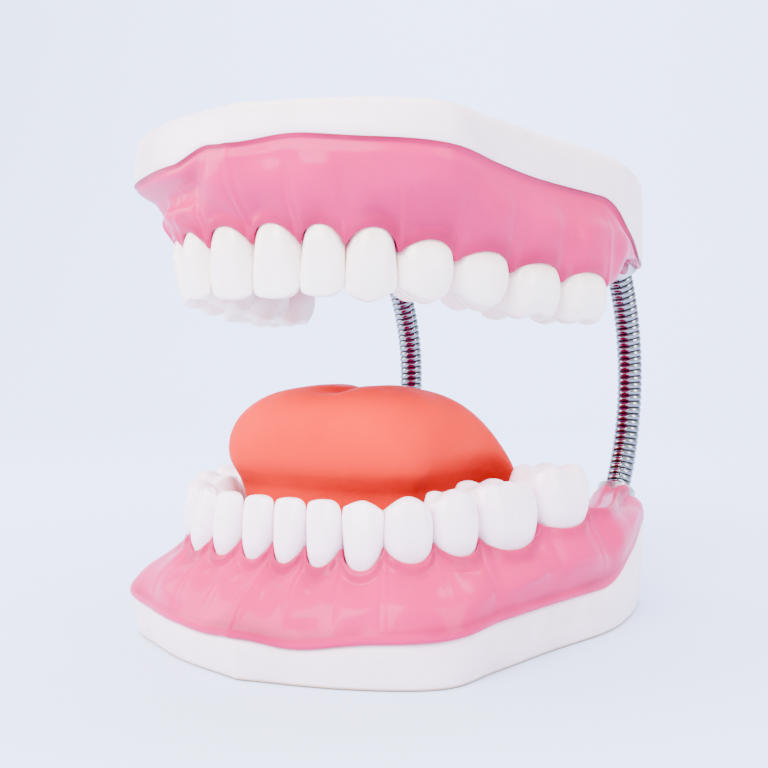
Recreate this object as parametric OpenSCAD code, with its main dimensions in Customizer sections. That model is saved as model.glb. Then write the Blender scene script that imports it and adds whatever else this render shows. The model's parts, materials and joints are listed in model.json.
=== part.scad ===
// Enlarged demonstration model of the mouth: two jaws with separate teeth, a tongue
// in the lower jaw, and a pair of flexible metal necks that carry the upper jaw.
// Each jaw is modelled with its flat face on z = 0, its front point at y = 0 and
// its teeth upwards. The upper jaw is then turned over and hung on the necks.

/* [Jaw bases] */
// Width of each jaw at its widest point
jaw_width = 114; // [105:1:140]
// Length of each jaw from its front point to its rear wall
jaw_length = 148.5; // [125:0.5:180]
// Height of the white base along the sides, where the gum starts
rim_height = 11; // [9.5:0.5:15]
// How far the white base climbs behind each heel
heel_rise = 15; // [5:1:18]
// How much further out the lower base's right front corner stands than its left one
lower_corner = 7; // [0:0.5:8]
// How much further out the upper base's right front corner stands than its left one
upper_corner = 3.5; // [0:0.5:8]
// Outward lean of the base from its flat face to its rim
base_flare = 1.5; // [0:0.1:3]
// Thickness of the base's wall around its hollow
base_wall = 9; // [6:0.5:12]
// Thickness of the base above its hollow
base_roof = 3; // [2:0.5:4]
// Thickness of the cover plate in each flat face
plate_thickness = 1.5; // [1:0.1:2.5]
// Gap around each cover plate
plate_gap = 0.3; // [0.1:0.1:0.6]

/* [Gums] */
// How far the lower gum stands out over the edge of its base
gum_overhang = 1.2; // [0:0.1:2.5]
// How far the upper gum stays inside the edge of its base
gum_inset = 1; // [0:0.1:2.5]
// Height of the gum's crest under the teeth, above the flat face
gum_crest = 30; // [26:0.5:36]
// Height of the lower pads behind the last teeth, where the necks enter
lower_pad_height = 36.5; // [31:0.5:39]
// Height of the upper pads behind the last teeth, where the necks enter
upper_pad_height = 29.5; // [27:0.5:34]
// Height of the floor of the mouth, inside the lower arch
floor_height = 18; // [15:0.5:22]
// Height of the palate, inside the upper arch
palate_height = 17; // [15:0.5:22]

/* [Arches] */
// Distance of the lower arch behind the jaw's front point
lower_arch_front = 14.5; // [12:0.5:20]
// Half width of the lower arch at the back of its last tooth
lower_arch_half = 55; // [50:0.5:60]
// Length of the lower arch
lower_arch_depth = 74; // [60:0.5:85]
// Distance of the upper arch behind the jaw's front point
upper_arch_front = 9.5; // [8:0.5:16]
// Half width of the upper arch at the back of its last tooth
upper_arch_half = 59; // [52:0.5:63]
// Length of the upper arch
upper_arch_depth = 84; // [70:0.5:95]

/* [Teeth] */
// How deep each tooth's stub sits in its socket
stub_depth = 9; // [6:0.5:10]
// Clearance around each stub in its socket
socket_gap = 0.15; // [0.05:0.05:0.4]

/* [Tongue] */
// Half width of the tongue
tongue_half = 35; // [28:0.5:36]
// Length of the tongue
tongue_length = 96; // [70:1:98]
// Height of the tongue's crown above the lower flat face
tongue_crown = 71; // [55:1:76]
// Distance of the tongue's tip behind the jaw's front point
tongue_front = 26; // [25:0.5:36]
// How far the tongue's crown stands ahead of its middle
tongue_lead = 18; // [8:1:24]

/* [Flexible necks] */
// Distance between the two necks
neck_spacing = 84; // [76:1:88]
// Outer diameter of each neck
neck_diameter = 8; // [7:0.5:9]
// Diameter of the round spring inside each neck
core_diameter = 5.6; // [4.5:0.1:6]
// Radius that each neck is bent to
neck_bend = 64; // [55:1:80]
// Half the angle that each neck bends through between the two jaws
neck_half_angle = 33; // [28:1:38]
// Length of each neck inside its socket
neck_grip = 11.5; // [8:0.5:13]
// Wall of the crimped ferrule on each end of a neck
ferrule_wall = 0.9; // [0.6:0.1:1.2]
// Wall of the metal socket in each heel
socket_wall = 1.1; // [0.8:0.1:1.5]
// Distance of the necks' lower ends behind the jaw's front point, at the pad
neck_back = 138; // [120:0.5:168]

/* [Upper jaw at rest] */
// How far the upper jaw's front point stands ahead of the lower's
upper_lead = 1.5; // [0:0.5:6]
// Slope of the upper jaw, down towards the back
upper_tilt = 2.8; // [0:0.1:6]

/* [Hidden] */
path_steps = 4;
ring_count = 20 * path_steps;
contact_gap = 0.5;
lower_power = 4.7;
upper_power = 3.5;
// How far a tooth's outer face stands outside the line through the contacts.
labial_reach = 3.2;
// Share of its size at the neck that a stub keeps at its lower end.
stub_share = 0.72;
// The gum's seat inside the rim of the base: how far in, and how far down.
seat_inset = 3.6;
seat_drop = 1.5;
// How far a cover plate reaches over the edge of its hollow.
cover_lap = 4;
// How far the gum bellies out between its skirt, its crest and its foot.
gum_belly = 3.5;
// How far both gums stand out over their bases at the heels.
heel_overhang = 1;
// Depth left free under the end of each neck.
socket_floor = 1.5;
// How far a neck's bore in the gum is cut on past the socket, in degrees.
bore_past = 3;
// How far it is cut on out of the gum's pad, in degrees.
bore_out = 12;

// Half outline of a jaw as shares of its half width and its length, front to rear.
outline_shape = [
    [0, 0], [0.47, 0.05], [0.82, 0.138], [0.877, 0.273], [0.93, 0.4545], [1, 0.63],
    [0.982, 0.751], [0.91, 0.875], [0.8, 0.965], [0.45, 1], [0, 1]
];

// Each tooth from the midline back: width, depth, height of its neck, height of its tip.
lower_teeth = [
    [10.2, 11.5, 27.5, 43.6], [10.3, 11.5, 27.5, 43.8], [11, 12.5, 27.2, 44],
    [13.2, 13.2, 28.9, 44.8], [13.9, 14, 29.6, 46], [22.9, 19, 29.2, 46.6],
    [23.5, 18.5, 32.5, 49.5]
];
upper_teeth = [
    [14.4, 13, 29, 47], [11.5, 12, 29.6, 46.6], [13.4, 14.5, 30, 47.8],
    [16, 17, 32, 47.4], [18.2, 18, 33.4, 48.2], [19.6, 21, 34.6, 49.2],
    [20.9, 21, 35.2, 49.4]
];
tooth_words = [
    "central_incisor", "lateral_incisor", "canine", "first_premolar",
    "second_premolar", "first_molar", "second_molar"
];
side_words = ["right", "left"];

neck_z = lower_pad_height - 1;
bend_centre = [
    neck_back - neck_bend * cos(neck_half_angle),
    neck_z + neck_bend * sin(neck_half_angle)
];
grip_angle = neck_grip / neck_bend * 180 / PI;
socket_angle = (neck_grip + socket_floor) / neck_bend * 180 / PI;
ferrule_radius = neck_diameter / 2 + ferrule_wall;
fit_gap = 0.04;
bore_radius = ferrule_radius + fit_gap;
socket_radius = bore_radius + socket_wall;

upper_y = -upper_lead;
upper_drop = tan(upper_tilt) * (neck_back + upper_lead);
upper_z = bend_centre.y + neck_bend * sin(neck_half_angle) + upper_pad_height - 1 + upper_drop;

jaw_front = base_flare + max(gum_overhang, upper_lead);
part_rear = bend_centre.x + neck_bend + neck_diameter / 2;
middle_y = (part_rear - jaw_front) / 2;

function tooth_names(jaw) =
    [for (side = side_words) for (word = tooth_words) str(jaw, "_", side, "_", word)];

// ---- Curves -------------------------------------------------------------

function spline(a, b, c, d, t) =
    0.5 * (2 * b + (c - a) * t + (2 * a - 5 * b + 4 * c - d) * t * t
        + (3 * b - a - 3 * c + d) * t * t * t);
function across(p) = len(p) == 2 ? [-p.x, p.y] : [-p.x, p.y, p.z];
// A smooth half path through its points, level where it meets the midline.
function half_path(p) = [
    for (i = [0:len(p) - 2])
        let (
            a = i > 0 ? p[i - 1] : across(p[1]),
            d = i + 2 < len(p) ? p[i + 2] : across(p[len(p) - 2])
        )
        for (k = [0:path_steps - 1]) spline(a, p[i], p[i + 1], d, k / path_steps),
    p[len(p) - 1]
];
// The whole loop: the half path out, and its mirror image back.
function loop(half) =
    concat(half, [for (i = [len(half) - 2:-1:1]) across(half[i])]);
function unit(v) = v / norm(v);
// A loop moved outwards by a distance.
function grown(path, distance) = [
    for (i = [0:len(path) - 1])
        let (
            before = path[(i + len(path) - 1) % len(path)],
            after = path[(i + 1) % len(path)],
            along = unit([after.x - before.x, after.y - before.y])
        )
        [path[i].x + along.y * distance, path[i].y - along.x * distance]
];
function smoothstep(t) =
    let (u = min(1, max(0, t))) u * u * (3 - 2 * u);

even_outline = loop(half_path([for (p = outline_shape) [p.x * jaw_width / 2, p.y * jaw_length]]));
// The base's outline, with its right front corner pushed out.
function outline(corner) = [
    for (p = even_outline)
        let (s = p.y / jaw_length)
        p.x < 0
            ? [p.x - corner * smoothstep((s - 0.08) / 0.08) * (1 - smoothstep((s - 0.16) / 0.27)), p.y]
            : p
];
function rim_outline(corner) = grown(outline(corner), base_flare);
// The gum's outer edge. Towards the heels it comes close to the base's own edge.
function gum_outline(corner, overhang) =
    let (rim = rim_outline(corner), front = grown(rim, overhang), rear = grown(rim, heel_overhang))
    [for (i = [0:ring_count - 1])
        front[i] + (rear[i] - front[i]) * smoothstep((rim[i].y / jaw_length - 0.45) / 0.2)];

// The line where base and gum meet: a little lower beside the front, and rising
// behind the last teeth to the rear wall.
function rim_z(p) =
    rim_height - 2 * smoothstep(abs(p.x) / 20) * (1 - smoothstep(p.y / 45))
    + 0.5 * smoothstep(p.y / jaw_length)
    + heel_rise * smoothstep((p.y / jaw_length - 0.6) / 0.3)
        * (0.15 + 0.85 * smoothstep((abs(p.x) - 26) / 14));

// ---- Arches -------------------------------------------------------------

// An arch is [front, half width, depth, power].
lower_arch = [lower_arch_front, lower_arch_half, lower_arch_depth, lower_power];
upper_arch = [upper_arch_front, upper_arch_half, upper_arch_depth, upper_power];
function arch_point(arch, x) = [x, arch[0] + arch[2] * pow(x / arch[1], arch[3])];
// The point one chord further along, found by halving.
function step_x(arch, from, width, low, high, tries = 22) =
    let (middle = (low + high) / 2)
    tries == 0 ? middle :
    norm(arch_point(arch, middle) - arch_point(arch, from)) < width
        ? step_x(arch, from, width, middle, high, tries - 1)
        : step_x(arch, from, width, low, middle, tries - 1);
function contact_x(arch, teeth, count) =
    count == 0 ? 0 :
    let (from = contact_x(arch, teeth, count - 1), width = teeth[count - 1][0])
    step_x(arch, from, width, from, from + width);

function ridge_points(arch, crest, pad, floor_z) =
    let (
        w = jaw_width / 2,
        back = arch[0] + arch[2],
        heel = (jaw_length - 9 - back) / 3
    )
    concat(
        [for (f = [0, 0.37, 0.68, 0.83, 0.94, 1])
            let (p = arch_point(arch, f * arch[1])) [p.x - 1.2 * f, p.y + 2.5 * (1 - f), crest]],
        [
            [w * 0.89, back + heel, (crest + pad) / 2],
            [(w * 0.84 + neck_spacing / 2) / 2, back + 2 * heel, pad],
            [neck_spacing / 2 - 1, neck_back + 1, pad],
            [w * 0.45, jaw_length - 8, floor_z + 3],
            [0, jaw_length - 7, floor_z]
        ]
    );
// The foot of the gum on the tongue side.
function inner_points(arch, floor_z) =
    let (w = jaw_width / 2, back = arch[0] + arch[2])
    [
        [0, arch[0] + 20, floor_z],
        [arch[1] * 0.26, arch[0] + 20.5, floor_z],
        [arch[1] * 0.46, arch[0] + 24, floor_z],
        [arch[1] * 0.57, arch[0] + 34, floor_z],
        [arch[1] * 0.64, arch[0] + 52, floor_z],
        [arch[1] * 0.68, back - 2, floor_z],
        [w * 0.66, jaw_length * 0.74, floor_z],
        [w * 0.56, jaw_length * 0.83, floor_z],
        [w * 0.44, jaw_length * 0.88, floor_z],
        [w * 0.24, jaw_length * 0.9, floor_z],
        [0, jaw_length * 0.9, floor_z]
    ];

// ---- Solids from rings --------------------------------------------------

// A closed solid from rings of equal count, with a point at each end.
module ring_solid(rings, start, finish) {
    n = len(rings[0]);
    m = len(rings);
    points = concat([start], [for (r = rings) for (p = r) p], [finish]);
    sides = [
        for (j = [0:m - 2]) for (i = [0:n - 1])
            let (a = 1 + j * n + i, b = 1 + j * n + (i + 1) % n)
            for (f = [[a, b + n, b], [a, a + n, b + n]]) f
    ];
    foot = [for (i = [0:n - 1]) [0, 1 + i, 1 + (i + 1) % n]];
    last = 1 + (m - 1) * n;
    head = [for (i = [0:n - 1]) [m * n + 1, last + (i + 1) % n, last + i]];
    polyhedron(points, concat(sides, foot, head));
}

function at_z(path, z) = [for (p = path) [p.x, p.y, z]];
function rim_ring(corner) = [for (p = rim_outline(corner)) [p.x, p.y, rim_z(p)]];
// Inside its rim the base drops to a level seat for the gum.
seat_z = rim_height - seat_drop;
function seat_ring(corner, z) = at_z(grown(outline(corner), -seat_inset), z);
// The point on the midline that all the flat faces fan out from.
function hub(z) = [0, jaw_length * 0.55, z];

module base_block(corner) {
    ring_solid([at_z(outline(corner), 0), rim_ring(corner), seat_ring(corner, seat_z)], hub(0), hub(seat_z));
}

module jaw_base(corner) {
    hollow_height = seat_z - base_roof;
    difference() {
        base_block(corner);
        translate([0, 0, -1])
            linear_extrude(hollow_height + 1) polygon(grown(outline(corner), -base_wall));
        translate([0, 0, -1])
            linear_extrude(plate_thickness + 1) polygon(grown(outline(corner), cover_lap - base_wall));
    }
}

module cover_plate(corner) {
    linear_extrude(plate_thickness)
        polygon(grown(outline(corner), cover_lap - base_wall - plate_gap));
}

// Ring between two others: share of the way, and its height.
function between(a, b, share, rise) = [
    for (i = [0:len(a) - 1])
        [a[i].x + (b[i].x - a[i].x) * share, a[i].y + (b[i].y - a[i].y) * share,
            a[i].z + (b[i].z - a[i].z) * share + rise]
];

module gum_solid(arch, pad, floor_z, corner, overhang) {
    ridge = loop(half_path(ridge_points(arch, gum_crest, pad, floor_z)));
    inner = loop(half_path(inner_points(arch, floor_z)));
    rim = rim_ring(corner);
    edge = gum_outline(corner, overhang);
    skirt = [for (i = [0:ring_count - 1]) [edge[i].x, edge[i].y, min(rim[i].z + 3, ridge[i].z - 1)]];
    ring_solid(
        [
            seat_ring(corner, seat_z - 1),
            rim,
            skirt,
            between(skirt, ridge, 0.3, gum_belly),
            between(skirt, ridge, 0.62, gum_belly),
            ridge,
            between(ridge, inner, 0.5, gum_belly),
            inner
        ],
        hub(seat_z - 1),
        hub(floor_z)
    );
}

// ---- Teeth --------------------------------------------------------------

// Rounded cross-section of a tooth, squarer towards the back of the mouth and
// narrower on its tongue side.
function tooth_ring(width, depth, shift, z, square, taper) = [
    for (i = [0:15])
        let (
            a = i * 22.5,
            e = 2 / square,
            side = sign(cos(a)) * pow(abs(cos(a)), e),
            inward = sign(sin(a)) * pow(abs(sin(a)), e)
        )
        [side * width / 2 * (1 - taper * max(0, inward)), shift + inward * depth / 2, z]
];
// Levels of a tooth: share of crown height, width, depth and lean of each ring.
front_levels = [
    [0, 0.74, 0.86, 0], [0.2, 0.86, 0.98, -0.02], [0.45, 0.95, 0.82, -0.05],
    [0.75, 0.98, 0.5, -0.1], [0.94, 0.95, 0.27, -0.12], [1, 0.86, 0.16, -0.1]
];
back_levels = [
    [0, 0.8, 0.84, 0], [0.22, 0.92, 0.98, 0], [0.5, 0.98, 1, 0],
    [0.78, 0.95, 0.86, 0], [0.93, 0.84, 0.66, 0], [1, 0.68, 0.48, 0]
];
function tooth_levels(index) = index < 3 ? front_levels : back_levels;
function tooth_square(index) = index < 3 ? 2.3 : 3;
function tooth_taper(index) = index < 5 ? 0.34 : 0.2;

// Rings of a tooth from the tip of its stub to its biting edge.
function tooth_rings(row, index, gap) =
    let (
        levels = tooth_levels(index),
        square = tooth_square(index),
        taper = tooth_taper(index),
        wide = 2 * gap - contact_gap
    )
    concat(
        [tooth_ring(row[0] * levels[0][1] * stub_share + wide,
            row[1] * levels[0][2] * stub_share + 2 * gap, 0, -stub_depth - gap, square, taper)],
        [for (l = levels) tooth_ring(row[0] * l[1] + wide, row[1] * l[2] + 2 * gap,
            row[1] * l[3], (row[3] - row[2]) * l[0], square, taper)]
    );

module tooth(row, index) {
    rings = tooth_rings(row, index, 0);
    top = rings[len(rings) - 1];
    ring_solid(rings, [0, 0, -stub_depth], [0, (top[4].y + top[12].y) / 2, row[3] - row[2]]);
}

// The room for a tooth: its stub and the lower half of its crown, with a gap around.
module tooth_room(row, index) {
    rings = tooth_rings(row, index, socket_gap);
    low = [for (i = [0:3]) rings[i]];
    top = at_z(rings[3], row[3] - row[2]);
    hull() ring_solid(concat(low, [top]), [0, 0, low[0][0].z], [0, 0, top[0].z]);
}

// Puts a tooth, or its socket, at its place on the arch.
module on_arch(arch, teeth, index) {
    a = arch_point(arch, contact_x(arch, teeth, index));
    b = arch_point(arch, contact_x(arch, teeth, index + 1));
    along = unit(b - a);
    inwards = [-along.y, along.x];
    place = (a + b) / 2 + inwards * (teeth[index][1] / 2 - labial_reach);
    translate([place.x, place.y, teeth[index][2]])
        rotate([0, 0, atan2(along.y, along.x)]) children();
}

module on_side(side) {
    if (side == 1) children();
    else mirror([1, 0, 0]) children();
}

module jaw_sockets(arch, teeth) {
    for (side = [0, 1]) on_side(side)
        for (i = [0:6]) on_arch(arch, teeth, i) tooth_room(teeth[i], i);
}

// ---- Flexible necks -----------------------------------------------------

// Part of a bent round tube, from one angle of the bend to another.
module bent_tube(outer, inner, low, high) {
    for (x = [-1, 1]) half_bent_tube(x, outer, inner, low, high);
}
module half_bent_tube(x, outer, inner, low, high) {
    translate([x * neck_spacing / 2, bend_centre.x, bend_centre.y])
        rotate([90, 0, 90]) rotate([0, 0, low])
            rotate_extrude(angle = high - low, $fn = 180) translate([neck_bend, 0]) difference() {
                circle(r = outer, $fn = 48);
                if (inner > 0) circle(r = inner, $fn = 48);
            }
}
neck_end = neck_half_angle + grip_angle;

// ---- Placing ------------------------------------------------------------

module lower_place() {
    translate([0, -middle_y, 0]) children();
}
module upper_place() {
    translate([0, upper_y - middle_y, upper_z])
        rotate([-upper_tilt, 0, 0]) mirror([0, 0, 1]) children();
}

// ---- Nodes --------------------------------------------------------------

module lower_base() {
    color("#EFEBEA") lower_place() difference() {
        jaw_base(lower_corner);
        bent_tube(socket_radius + fit_gap, 0, -neck_end - bore_past, -neck_half_angle);
    }
}
module lower_cover_plate() {
    color("#B9A184") lower_place() cover_plate(lower_corner);
}
module lower_gum() {
    color("#EE7FB0") lower_place() difference() {
        gum_solid(lower_arch, lower_pad_height, floor_height, lower_corner, gum_overhang);
        base_block(lower_corner);
        jaw_sockets(lower_arch, lower_teeth);
        bent_tube(socket_radius + fit_gap, 0, -neck_end - bore_past, -neck_half_angle + bore_out);
    }
}
module lower_tooth(side, index) {
    color("#F7F4F2") lower_place() on_side(side)
        on_arch(lower_arch, lower_teeth, index) tooth(lower_teeth[index], index);
}
module tongue() {
    middle = tongue_front + tongue_length / 2;
    rise = tongue_crown - floor_height;
    // Share of height, share of full width, and squareness, from the root to the crown.
    levels = [
        [0, 0.78, 3], [0.16, 0.86, 3.4], [0.36, 0.9, 3.8], [0.5, 0.92, 4.2], [0.6, 1, 4.6],
        [0.7, 1, 4.4], [0.8, 0.93, 3.8], [0.89, 0.78, 3], [0.96, 0.54, 2.4], [0.99, 0.27, 2.1]
    ];
    // It is broadest over the front teeth and narrower between the molars.
    waist = 0.09;
    rings = [for (l = levels) [
        for (i = [0:39])
            let (
                a = i * 9,
                e = 2 / l[2],
                back = sign(sin(a)) * pow(abs(sin(a)), e) * l[1],
                out = sign(cos(a)) * pow(abs(cos(a)), e) * l[1]
                    * (1 - waist * smoothstep((back + 0.75) / 0.3))
            )
            [
                tongue_half * out,
                middle - tongue_lead * l[0] + tongue_length / 2 * back
                    * (back < 0 ? 1 - tongue_lead * l[0] * 2 / tongue_length : 1),
                floor_height + socket_gap + rise * l[0] * (1 - 0.45 * smoothstep(back))
            ]
    ]];
    color("#F9776B") lower_place()
        ring_solid(rings, [0, middle, floor_height + socket_gap],
            [0, middle - tongue_lead, floor_height + rise]);
}
module lower_neck_sockets() {
    color("#8D9094") lower_place()
        bent_tube(socket_radius, bore_radius, -neck_half_angle - socket_angle, -neck_half_angle);
}
module lower_neck_ferrules() {
    color("#B4B7BB") lower_place()
        bent_tube(ferrule_radius, neck_diameter / 2 + fit_gap, -neck_end, -neck_half_angle);
}
module neck_coil(x) {
    color("#C9CCD0") lower_place()
        half_bent_tube(x, neck_diameter / 2, core_diameter / 2 + 0.1, -neck_end, neck_end);
}
module neck_core(x) {
    color("#8B8E92") lower_place()
        half_bent_tube(x, core_diameter / 2, core_diameter / 2 - 1, -neck_end, neck_end);
}
module upper_base() {
    color("#EFEBEA") difference() {
        upper_place() jaw_base(upper_corner);
        lower_place() bent_tube(socket_radius + fit_gap, 0, neck_half_angle, neck_end + bore_past);
    }
}
module upper_cover_plate() {
    color("#B9A184") upper_place() cover_plate(upper_corner);
}
module upper_gum() {
    color("#EE7FB0") difference() {
        upper_place() difference() {
            gum_solid(upper_arch, upper_pad_height, palate_height, upper_corner, -gum_inset);
            base_block(upper_corner);
            jaw_sockets(upper_arch, upper_teeth);
        }
        lower_place()
            bent_tube(socket_radius + fit_gap, 0, neck_half_angle - bore_out, neck_end + bore_past);
    }
}
module upper_tooth(side, index) {
    color("#F7F4F2") upper_place() on_side(side)
        on_arch(upper_arch, upper_teeth, index) tooth(upper_teeth[index], index);
}
module upper_neck_sockets() {
    color("#8D9094") lower_place()
        bent_tube(socket_radius, bore_radius, neck_half_angle, neck_half_angle + socket_angle);
}
module upper_neck_ferrules() {
    color("#B4B7BB") lower_place()
        bent_tube(ferrule_radius, neck_diameter / 2 + fit_gap, neck_half_angle, neck_end);
}

lower_base();
lower_cover_plate();
lower_gum();
tongue();
for (side = [0, 1]) for (i = [0:6])
    lower_tooth(side, i);
lower_neck_sockets();
lower_neck_ferrules();
neck_coil(-1);  // right_neck_coil
neck_coil(1);  // left_neck_coil
neck_core(-1);  // right_neck_core
neck_core(1);  // left_neck_core
upper_base();
upper_cover_plate();
upper_gum();
for (side = [0, 1]) for (i = [0:6])
    upper_tooth(side, i);
upper_neck_sockets();
upper_neck_ferrules();
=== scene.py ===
import functools
import json
import math

import bpy
import numpy as np
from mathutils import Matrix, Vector, noise


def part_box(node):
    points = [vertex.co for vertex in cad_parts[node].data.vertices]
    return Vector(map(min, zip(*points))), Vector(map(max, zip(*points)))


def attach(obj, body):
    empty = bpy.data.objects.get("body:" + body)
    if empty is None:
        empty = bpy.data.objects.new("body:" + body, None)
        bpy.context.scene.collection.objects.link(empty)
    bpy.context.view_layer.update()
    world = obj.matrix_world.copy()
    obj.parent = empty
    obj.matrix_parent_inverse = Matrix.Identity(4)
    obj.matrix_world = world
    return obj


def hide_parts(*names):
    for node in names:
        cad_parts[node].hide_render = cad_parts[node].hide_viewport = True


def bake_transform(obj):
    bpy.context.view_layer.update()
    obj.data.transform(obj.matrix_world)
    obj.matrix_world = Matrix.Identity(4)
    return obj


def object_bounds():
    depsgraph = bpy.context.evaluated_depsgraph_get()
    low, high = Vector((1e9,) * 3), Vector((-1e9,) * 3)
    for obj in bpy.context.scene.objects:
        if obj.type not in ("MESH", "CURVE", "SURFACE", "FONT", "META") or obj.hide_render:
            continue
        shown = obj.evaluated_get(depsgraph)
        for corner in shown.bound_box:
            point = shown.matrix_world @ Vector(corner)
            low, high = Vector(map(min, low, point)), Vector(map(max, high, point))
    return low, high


# A double-size teaching model of the mouth: two jaws with 28 separate teeth, a soft tongue
# and two ribbed metal necks. Sizes are in millimetres and angles in degrees; every mesh is
# made in metres, in the frame's own place. Each jaw is shaped in its own frame: flat face on
# z = 0, front point at y = 0, teeth upwards. The upper jaw is then turned over.

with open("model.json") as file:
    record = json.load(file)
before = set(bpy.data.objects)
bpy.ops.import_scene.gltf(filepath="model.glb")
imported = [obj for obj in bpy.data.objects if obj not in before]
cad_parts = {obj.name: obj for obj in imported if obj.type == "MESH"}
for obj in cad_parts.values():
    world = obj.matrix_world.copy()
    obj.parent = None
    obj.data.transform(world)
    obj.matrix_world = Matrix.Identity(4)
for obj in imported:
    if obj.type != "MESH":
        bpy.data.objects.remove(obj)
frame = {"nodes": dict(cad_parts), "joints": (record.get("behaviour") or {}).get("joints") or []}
cad_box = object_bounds()
bpy.ops.object.select_all(action="DESELECT")
MM = 0.001

# ---- Sizes that the jaws share with the frame -------------------------------------------

JAW_WIDTH = 114
JAW_LENGTH = 148.5
BASE_FLARE = 1.5
BASE_WALL = 9
COVER_LAP = 4
COVER_DEPTH = 1.5
HOLLOW_DEPTH = 6.5
RIM_HEIGHT = 11
HEEL_RISE = 15
SEAT_INSET = 3.6
SEAT_DROP = 1.5
UPPER_TILT = 2.8
LABIAL_REACH = 3.2
GUM_UNDERLAP = 2.2
SIDE_EASE = 1.5
HUB_Y = JAW_LENGTH * 0.55
NECK_SPACING = 84
NECK_RADIUS = 4
CORE_RADIUS = 2.8
NECK_BEND = 64
NECK_HALF_ANGLE = 33
NECK_GRIP = 11.5
NECK_BACK = 138

# Half outline of a jaw as shares of its half width and its length, front to rear.
OUTLINE = [
    (0, 0), (0.47, 0.05), (0.82, 0.138), (0.877, 0.273), (0.93, 0.4545), (1, 0.63),
    (0.982, 0.751), (0.91, 0.875), (0.8, 0.965), (0.45, 1), (0, 1),
]
TOOTH_WORDS = [
    "central_incisor", "lateral_incisor", "canine", "first_premolar",
    "second_premolar", "first_molar", "second_molar",
]

base_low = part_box("lower_base")[0]
lid_low, lid_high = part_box("upper_base")
tilt = math.radians(UPPER_TILT)
MIDDLE_Y = -base_low.y / MM - BASE_FLARE
UPPER_Z = lid_high.z / MM
UPPER_Y = lid_low.y / MM + BASE_FLARE * math.cos(tilt) + RIM_HEIGHT * math.sin(tilt)


def lower_place(p):
    """Jaw frame in millimetres to the row frame in metres, for the lower jaw."""
    return (p[0] * MM, (p[1] - MIDDLE_Y) * MM, p[2] * MM)


def upper_place(p):
    """The same for the upper jaw, turned over and tilted down towards the back."""
    y = p[1] * math.cos(tilt) - p[2] * math.sin(tilt)
    z = -p[1] * math.sin(tilt) - p[2] * math.cos(tilt)
    return (p[0] * MM, (y + UPPER_Y) * MM, (z + UPPER_Z) * MM)


# Arch: front, half width, depth, power. Teeth from the midline back: width, depth, height of
# the neck, height of the tip. Then the heights of the gum's floor and pads, how far the base's
# right front corner is pushed out, the rounding of its outer edge, how full its sides are, how
# much higher the rim line runs (right front, left front, sides), and how far the gum is tucked
# in at the right front.
LOWER = {
    "name": "lower", "place": lower_place, "arch": (14.5, 55, 74, 4.7),
    "teeth": [
        (10.2, 11.5, 27.5, 43.6), (10.3, 11.5, 27.5, 43.8), (11, 12.5, 27.2, 44),
        (13.2, 13.2, 28.9, 44.8), (13.9, 14, 29.6, 46), (22.9, 19, 29.2, 46.6),
        (23.5, 18.5, 32.5, 49.5),
    ],
    "floor": 18, "pad": 36.5, "corner": 7, "edge_round": 0.7,
    "fullness": 0, "rise": (1.5, 2.5, 2.5), "tuck": 0,
}
UPPER = {
    "name": "upper", "place": upper_place, "arch": (9.5, 59, 84, 3.5),
    "teeth": [
        (14.4, 13, 29, 47), (11.5, 12, 29.6, 46.6), (13.4, 14.5, 30, 47.8),
        (16, 17, 32, 47.4), (18.2, 18, 33.4, 48.2), (19.6, 21, 34.6, 49.2),
        (20.9, 21, 35.2, 49.4),
    ],
    "floor": 17, "pad": 29.5, "corner": 3.5, "edge_round": 2.6,
    "fullness": 0.75, "rise": (4.5, 1.2, 2.5), "tuck": 5.5,
}


# ---- Curves -----------------------------------------------------------------------------


def smooth(t):
    """0 up to t = 0, 1 from t = 1, with no corner between."""
    t = min(1, max(0, t))
    return t * t * (3 - 2 * t)


def eased(t):
    """smooth() for whole arrays."""
    t = np.clip(t, 0, 1)
    return t * t * (3 - 2 * t)


def bell(t):
    """1 at t = 0, falling smoothly to nothing by about 2."""
    return math.exp(-t * t)


def spline(rows, steps):
    """A smooth path through its points, steps pieces between each two of them."""
    p = [np.array(r, float) for r in rows]
    p = [2 * p[0] - p[1]] + p + [2 * p[-1] - p[-2]]
    out = []
    for a, b, c, d in zip(p, p[1:], p[2:], p[3:]):
        for k in range(steps):
            t = k / steps
            out.append(0.5 * (2 * b + (c - a) * t + (2 * a - 5 * b + 4 * c - d) * t * t
                              + (3 * b - a - 3 * c + d) * t ** 3))
    return np.array(out + [p[-2]])


@functools.lru_cache(maxsize=None)
def table(rows, t):
    """Reads a smooth table of (t, value, value ...) rows at t."""
    path = spline(rows, 12)
    return [float(np.interp(t, path[:, 0], path[:, i])) for i in range(1, path.shape[1])]


def lengths(path):
    """Length along a path up to each of its points, seen from above."""
    return np.concatenate([[0], np.cumsum(np.linalg.norm(np.diff(path[:, :2], axis=0), axis=1))])


def at_shares(path, shares):
    """Points at these shares of a path's length."""
    along = lengths(path)
    return np.array([[np.interp(s * along[-1], along, path[:, i]) for i in range(path.shape[1])]
                     for s in shares])


def normals(path):
    """Outward unit normals, to the right of a path that runs from the front to the rear."""
    d = np.gradient(path[:, :2], axis=0)
    d[0] = (1, 0)
    d[-1] = (-1, 0)
    d /= np.linalg.norm(d, axis=1)[:, None]
    return np.stack([d[:, 1], -d[:, 0]], axis=1)


def arch_y(arch, x):
    """Distance behind the front of the jaw at which the row of teeth passes x."""
    return arch[0] + arch[2] * (abs(x) / arch[1]) ** arch[3]


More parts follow.
